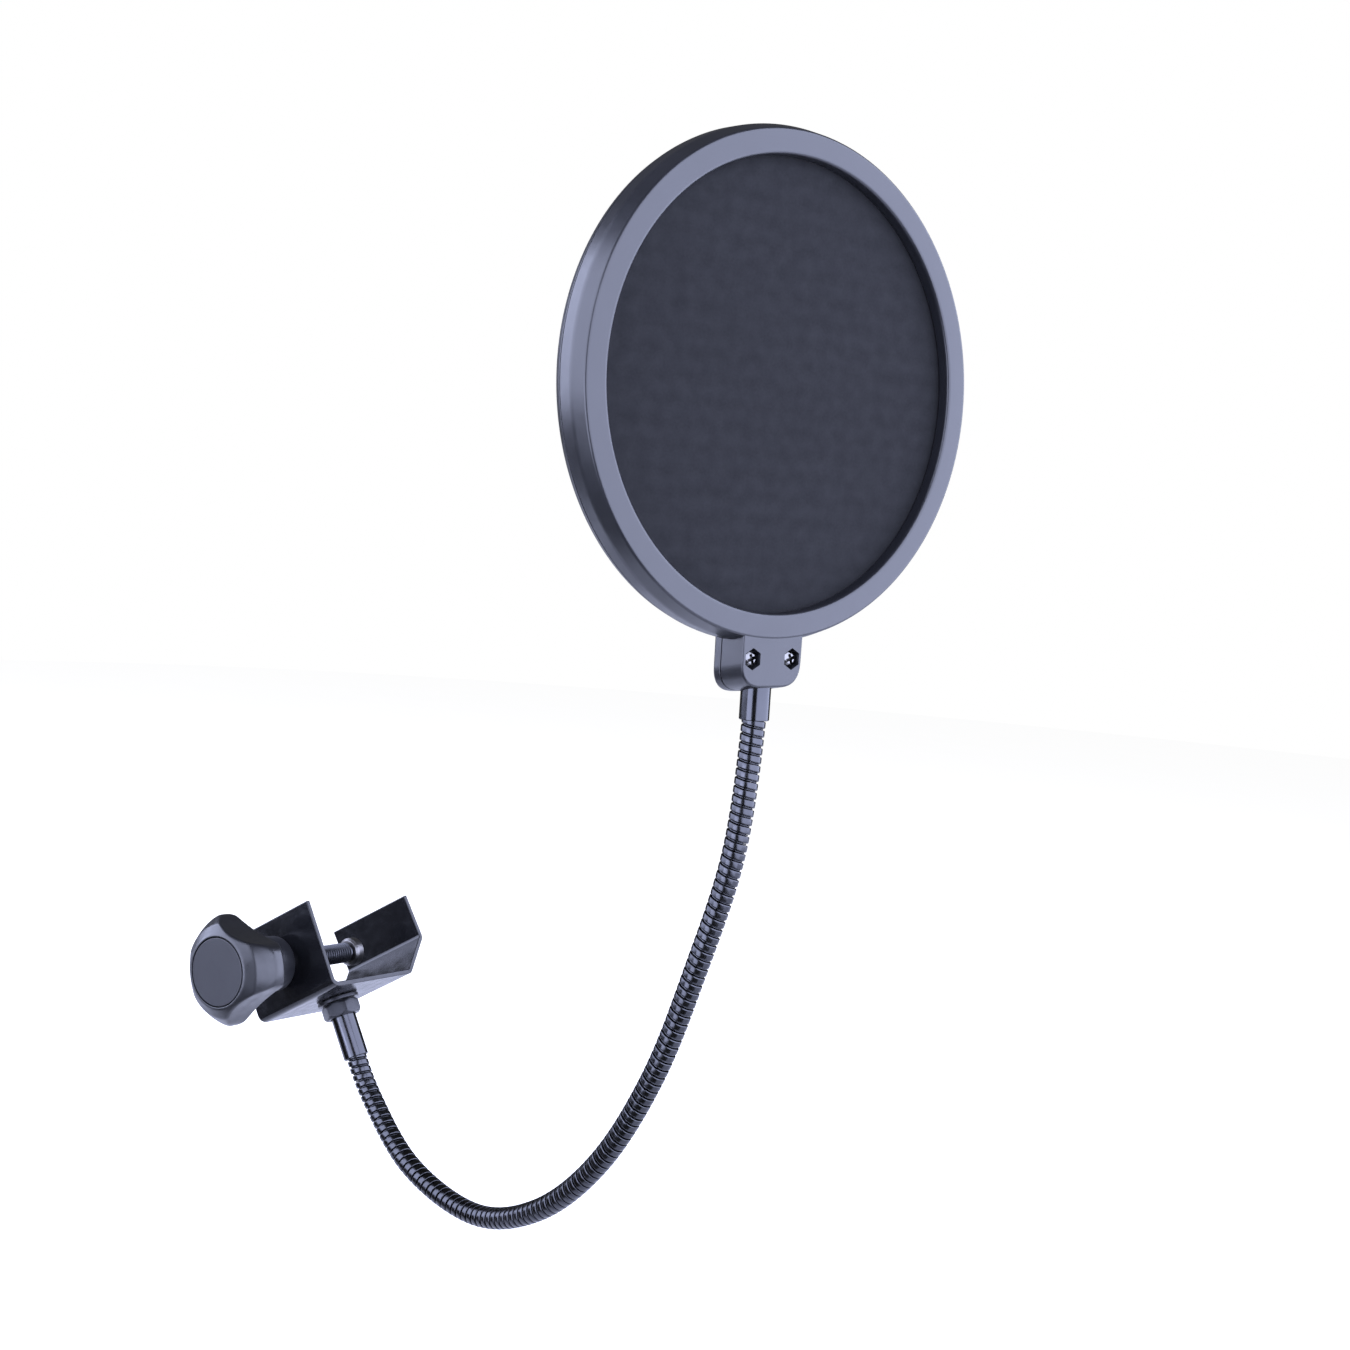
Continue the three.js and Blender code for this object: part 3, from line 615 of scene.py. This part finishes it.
def tab_outline(depth):
    """Outline of the tab under the hoop, in Y and Z. It is wider and deeper towards the back."""
    share = depth / DEPTH
    half = 12.3 + 0.4 * share
    bottom = -93.3 - 2.9 * share
    top = -73.5
    corner = 8
    corners = [(half, top, 0), (-half, top, 0), (-half, bottom, corner), (half, bottom, corner)]
    return np.array(rounded(corners, True, 12))


def tab(name, start, end, front_edge, rear_edge):
    """Half of the tab between two depths, with rounded rims."""
    quarter = np.linspace(0, math.pi / 2, 5)
    steps = [(start + front_edge * (1 - math.cos(t)), front_edge * (1 - math.sin(t))) for t in quarter]
    steps += [(end - rear_edge * (1 - math.cos(t)), rear_edge * (1 - math.sin(t))) for t in reversed(quarter)]
    loops = [[(-depth, y, z) for y, z in inset(tab_outline(depth), shrink)] for depth, shrink in steps]
    return made(name, loft(loops), HEAD)


SCREW_Z = -84.4
SCREW_SPREAD = {"left": 8.1, "right": -8.1}
SHAFT_R = 1.45
HOLE_R = SHAFT_R + GAP
POCKET_DEPTH = 3
REAR_POCKET_DEPTH = 2.5
POCKET_R = 6.1 / 2 / math.cos(math.radians(30))
SLEEVE_R = 4.85
SLEEVE_TOP = -85
SLEEVE_END = -104.5
FLANGE_R = 5.75
FLANGE_LOW = -90
FLANGE_HIGH = -88
FRONT_CUTTER_END = 1  # ends of cutters, past the surfaces that they cut
HOLE_CUTTER_END = -15
REAR_CUTTER_END = -16
BORE_CUTTER_END = -99
ferrule_place = HEAD @ Matrix.Translation((FERRULE_AXIS, 0, 0))


def tab_cutters():
    """Cuts for the upper ferrule, the fabrics' edges, and the two screws with their nuts."""
    groove = [(GROOVE_INSIDE + 0.1, GROOVE_BACK), (GROOVE_OUTSIDE, GROOVE_BACK),
              (GROOVE_OUTSIDE, GROOVE_FRONT), (GROOVE_INSIDE + 0.1, GROOVE_FRONT)]
    cutters = [
        made("bore", rod(SLEEVE_R + GAP, BORE_CUTTER_END, SLEEVE_TOP + GAP, "z"), ferrule_place),
        made("flange_room", rod(FLANGE_R + GAP, FLANGE_LOW - GAP, FLANGE_HIGH + GAP, "z"), ferrule_place),
        made("fabric_room", spin(groove, "x", HOOP_STEPS, True), HEAD),
    ]
    for y in SCREW_SPREAD.values():
        at = HEAD @ Matrix.Translation((0, y, SCREW_Z))
        cutters.append(made("pocket", rod(POCKET_R, -POCKET_DEPTH, FRONT_CUTTER_END, "x", 6, 30), at))
        rear_floor = REAR_POCKET_DEPTH - DEPTH
        cutters.append(made("rear_pocket", rod(POCKET_R, REAR_CUTTER_END, rear_floor, "x", 6, 30), at))
        cutters.append(made("hole", rod(HOLE_R, HOLE_CUTTER_END, FRONT_CUTTER_END, "x", 24), at))
    return cutters


front = made("front_shell", turned(front_ring, "x", HOOP_STEPS, True), HEAD)
combined(front, [tab("front_tab", 0.25, SPLIT, 0.7, 0.25)], "UNION")
combined(front, tab_cutters(), "DIFFERENCE")
fitted(front, HOOP_PLASTIC, "head", ["front_hoop"], 35)
rear = made("rear_shell", turned(rear_ring, "x", HOOP_STEPS, True), HEAD)
combined(rear, [tab("rear_tab", SPLIT + GAP, DEPTH, 0.25, 1.2)], "UNION")
combined(rear, tab_cutters(), "DIFFERENCE")
fitted(rear, HOOP_PLASTIC, "head", ["rear_hoop"], 35)

flange = [(SLEEVE_R, FLANGE_LOW, 0), (FLANGE_R, FLANGE_LOW, 0.15),
          (FLANGE_R, FLANGE_HIGH, 0.15), (SLEEVE_R, FLANGE_HIGH, 0)]
fitted(made("sleeve_top", turned(ferrule_corners(SLEEVE_R, SLEEVE_TOP, SLEEVE_END, flange), "z"),
            ferrule_place), BLACK_NICKEL, "head", ["upper_ferrule"])

SEAT = GAP - POCKET_DEPTH
SHAFT_END = GAP - DEPTH
SCREW_HEAD_R = 2.75
SLOT_HALF_LENGTH = 1.5
SLOT_HALF_WIDTH = 0.5
SLOT_FILLET = 0.15
slot_corners = ((-1, -1), (1, -1), (1, 1), (-1, 1))
slot = rounded([(a * SLOT_HALF_LENGTH, b * SLOT_HALF_WIDTH, SLOT_FILLET) for a, b in slot_corners], True, 3)
for side, y in SCREW_SPREAD.items():
    at = HEAD @ Matrix.Translation((0, y, SCREW_Z))
    shaft = made(f"cross_screw_{side}", turned([
        (0, SHAFT_END, 0), (SHAFT_R, SHAFT_END, 0.2), (SHAFT_R, SEAT, 0), (SCREW_HEAD_R, SEAT, 0.1),
        (SCREW_HEAD_R, SEAT + 1, 0.35), (1.6, SEAT + 1.75, 0.8), (0, SEAT + 1.9, 0),
    ], "x", 48), at)
    slots = []
    for angle in (20, 110):
        loops = [[(x, a * grow, b * grow) for a, b in slot] for x, grow in ((SEAT + 0.3, 0.85), (0, 1.25))]
        slots.append(made("slot", loft(loops), at @ turn("X", angle)))
    combined(shaft, slots, "DIFFERENCE")
    fitted(shaft, BRIGHT_NICKEL, "head", [f"tab_screw_{side}"], 32)

# ---------- fabrics ----------
DISC_R = 75.2


def fabric_disc(name, along, node):
    """Round fabric stretched flat in the hoop, with its rows and columns as UVs in millimetres."""
    rings = [DISC_R * share for share in np.linspace(0, 1, 26)]
    disc = made(name, spin([(r, along) for r in rings], "x", 180), HEAD)
    layer = disc.data.uv_layers.new(name="cloth")
    back = HEAD.inverted()
    for loop in disc.data.loops:
        local = back @ disc.data.vertices[loop.vertex_index].co
        layer.data[loop.index].uv = (local.y, local.z)
    disc.data.materials.append(FABRIC)
    disc.data.shade_smooth()
    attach(disc, "head")
    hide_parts(node)


FRONT_CLOTH = -4.7
REAR_CLOTH = 3.1 - DEPTH
fabric_disc("front_mesh", FRONT_CLOTH, "front_fabric")
fabric_disc("rear_mesh", REAR_CLOTH, "rear_fabric")

# ---------- gooseneck ----------
lower_mouth = Vector((0, STUD_Y, FERRULE_END))
upper_mouth = Vector((FERRULE_AXIS, 0, SLEEVE_END))
up = Vector((0, 0, NECK_INSERT))
to_world = Matrix.Scale(1 / MM, 4)
knots = [to_world @ CLAMP @ (lower_mouth + up), to_world @ CLAMP @ lower_mouth]
knots += [Vector(p) for p in (
    (30.4, -26, -48.1), (55.1, -29.5, -68.3), (91.3, -35.3, -76.3), (125.4, -45.1, -63.8),
    (153.2, -52.6, -38.7), (172.8, -56.1, -4.9), (185.2, -57, 33), (194.4, -56.5, 72.2))]
knots += [to_world @ HEAD @ upper_mouth, to_world @ HEAD @ (upper_mouth + up)]


def smooth_line(through, samples=60):
    """Centripetal Catmull-Rom curve through the knots, as points close together."""
    knot = [np.array(p) for p in through]
    knot = [2 * knot[0] - knot[1], *knot, 2 * knot[-1] - knot[-2]]
    line = []
    for p0, p1, p2, p3 in zip(knot, knot[1:], knot[2:], knot[3:]):
        d0, d1, d2 = (math.sqrt(np.linalg.norm(b - a)) for a, b in ((p0, p1), (p1, p2), (p2, p3)))
        out = ((p1 - p0) / d0 - (p2 - p0) / (d0 + d1) + (p2 - p1) / d1) * d1
        into = ((p2 - p1) / d1 - (p3 - p1) / (d1 + d2) + (p3 - p2) / d2) * d1
        for t in np.arange(samples) / samples:
            line.append(p1 + out * t + (3 * (p2 - p1) - 2 * out - into) * t ** 2
                        + (2 * (p1 - p2) + out + into) * t ** 3)
    return np.array([*line, knot[-2]])


line = smooth_line(knots)
distances = np.concatenate([[0], np.cumsum(np.linalg.norm(np.diff(line, axis=0), axis=1))])
NECK_LENGTH = float(distances[-1])
BEND_AXIS = np.array((-0.196, -0.981, 0.013))


def along_neck(s):
    """Centre, side and normal of the neck at distances along it."""
    s = np.clip(s, 0, NECK_LENGTH)
    centre = np.stack([np.interp(s, distances, line[:, i]) for i in range(3)], axis=1)
    tangents = np.gradient(line, distances, axis=0)
    tangent = np.stack([np.interp(s, distances, tangents[:, i]) for i in range(3)], axis=1)
    tangent /= np.linalg.norm(tangent, axis=1)[:, None]
    side = np.cross(tangent, BEND_AXIS)
    side /= np.linalg.norm(side, axis=1)[:, None]
    return centre, side, np.cross(side, tangent)


COIL_PITCH = 2.83
COIL_STEPS = 28
# Sections of the broad band and of the thin wire between its turns: radius, distance along the neck
WIRES = [
    [(3.1, 0.03), (3.66, 0.05), (3.84, 0.15), (3.9, 0.45), (3.9, 1.8), (3.84, 2.1), (3.66, 2.2), (3.1, 2.22),
     (2.75, 1.9), (2.75, 0.4)],
    [(3.1, 2.28), (3.24, 2.34), (3.3, 2.53), (3.24, 2.72), (3.1, 2.78), (2.75, 2.68), (2.75, 2.38)],
]


def coil(first, last):
    """Both wires of the coil, from one step round it to another."""
    points, faces = [], []
    number = np.arange(first, last + 1)
    angles = number * FULL_TURN / COIL_STEPS
    for wire in WIRES:
        rows = []
        for radius, offset in wire:
            centre, side, normal = along_neck(number * COIL_PITCH / COIL_STEPS + offset)
            rows.append(centre + radius * (np.cos(angles)[:, None] * side + np.sin(angles)[:, None] * normal))
        base = len(points)
        count = len(wire)
        points += [tuple(rows[j][i]) for i in range(len(number)) for j in range(count)]
        for i in range(len(number) - 1):
            for j in range(count):
                k = (j + 1) % count
                a, b = base + i * count, base + (i + 1) * count
                faces.append([a + j, a + k, b + k, b + j])
        faces.append([base + j for j in range(count)])
        faces.append([len(points) - count + j for j in range(count)])
    return points, faces


bends = [j for j in frame["joints"] if j["type"] == "hinge" and j["name"] != "knob_turn"]
segment = (NECK_LENGTH - 2 * NECK_INSERT) / len(bends)
total_steps = int((NECK_LENGTH - COIL_PITCH) / COIL_PITCH * COIL_STEPS)
for i, joint in enumerate(bends):
    start = 0 if i == 0 else round((NECK_INSERT + i * segment) / COIL_PITCH * COIL_STEPS)
    end = total_steps if i == len(bends) - 1 else round(
        (NECK_INSERT + (i + 1) * segment) / COIL_PITCH * COIL_STEPS)
    piece = made(f"coil_{i}", coil(start, end), WORLD)
    finished(piece, COIL, 60)
    middle = NECK_INSERT + (i + 0.5) * segment
    before, after = (Vector(p) for p in along_neck(np.array([middle - 1, middle + 1]))[0])
    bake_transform(piece)
    nodes = [f"neck_outer_coil_{i}"] + ([f"neck_outer_coil_{i + 1}"] if i == len(bends) - 1 else [])
    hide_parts(*nodes)

# ---------- CAD nodes that stay ----------
for name, node in frame["nodes"].items():
    if node.hide_render:
        continue
    node.data.materials.clear()
    node.data.materials.append(HOOP_PLASTIC if name == "spacer_ring" else ZINC)

# ---------- camera ----------
CAMERA_AT = Vector((471.9, -558, 144.7))
right = Vector((0.8475, 0.521, 0.102)).normalized()
look = Vector((-0.521, 0.853, -0.0305))
look = (look - right * look.dot(right)).normalized()
above = right.cross(look)
camera_data = bpy.data.cameras.new("camera")
camera_data.lens = 48
camera_data.sensor_width = 36
camera_data.clip_start = 0.01
camera = bpy.data.objects.new("camera", camera_data)
facing = Matrix((right, above, -look)).transposed().to_4x4()
camera.matrix_world = Matrix.Translation(CAMERA_AT * MM) @ facing
bpy.context.scene.collection.objects.link(camera)
bpy.context.scene.camera = camera

# ---------- floor and light ----------
FLOOR_R = 6
FLOOR_AT = (0.1, 5.82, -0.3)
floor = made("floor", spin([(0, 0), (FLOOR_R / 3, 0), (FLOOR_R, 0)], "z", 96), Matrix.Translation(FLOOR_AT))
floor_material, floor_tree, floor_shader = new_material("pale_floor")
floor_place = floor_tree.nodes.new("ShaderNodeTexCoord").outputs["Object"]
floor_tree.links.new(blended(floor_tree, noise(floor_tree, floor_place, 3, 3, 0, 1), (0.7, 0.7, 0.71),
                             (0.74, 0.74, 0.75)), floor_shader.inputs["Base Color"])
floor_shader.inputs["Roughness"].default_value = 0.9
floor_shader.inputs["Emission Color"].default_value = (1, 1, 1, 1)
floor_seen = floor_tree.nodes.new("ShaderNodeLightPath").outputs["Is Camera Ray"]
glow = floor_tree.nodes.new("ShaderNodeMapRange")
glow.inputs["To Min"].default_value = 0.05  # as light on the object
glow.inputs["To Max"].default_value = 0.9  # as seen
floor_tree.links.new(floor_seen, glow.inputs["Value"])
floor_tree.links.new(glow.outputs["Result"], floor_shader.inputs["Emission Strength"])
floor.data.materials.append(floor_material)

MIDDLE = Vector((0.12, -0.04, 0.1))
LIGHT_COLOR = (0.66, 0.715, 1.0)
LIGHT_DISTANCE = 1.4


def soft_box(name, azimuth, elevation, width, height, radiance):
    """A rectangle of light that faces the object. The azimuth runs from +X towards +Y."""
    data = bpy.data.lights.new(name, "AREA")
    data.shape = "RECTANGLE"
    data.size = width
    data.size_y = height
    data.energy = radiance * math.pi * width * height
    data.color = LIGHT_COLOR
    obj = bpy.data.objects.new(name, data)
    level = math.cos(math.radians(elevation))
    out = Vector((level * math.cos(math.radians(azimuth)), level * math.sin(math.radians(azimuth)),
                  math.sin(math.radians(elevation))))
    obj.location = MIDDLE + out * LIGHT_DISTANCE
    obj.rotation_mode = "QUATERNION"
    obj.rotation_quaternion = out.to_track_quat("Z", "Y")
    bpy.context.scene.collection.objects.link(obj)


soft_box("right_box", azimuth=8, elevation=12, width=4.4, height=2.1, radiance=7)
soft_box("left_box", azimuth=-130, elevation=19, width=3.5, height=1.4, radiance=6.8)
soft_box("low_box", azimuth=-99, elevation=-16, width=1, height=0.65, radiance=7.3)

world = bpy.data.worlds.new("studio")
bpy.context.scene.world = world
world.use_nodes = True
sky = world.node_tree
seen = sky.nodes.new("ShaderNodeLightPath").outputs["Is Camera Ray"]
brightness = sky.nodes.new("ShaderNodeMapRange")
brightness.inputs["To Min"].default_value = 0.1  # as light on the object
brightness.inputs["To Max"].default_value = 1  # as seen
sky.links.new(seen, brightness.inputs["Value"])
sky.nodes["Background"].inputs["Color"].default_value = (1, 1, 1, 1)
sky.links.new(brightness.outputs["Result"], sky.nodes["Background"].inputs["Strength"])
bpy.context.scene.view_settings.view_transform = "Standard"
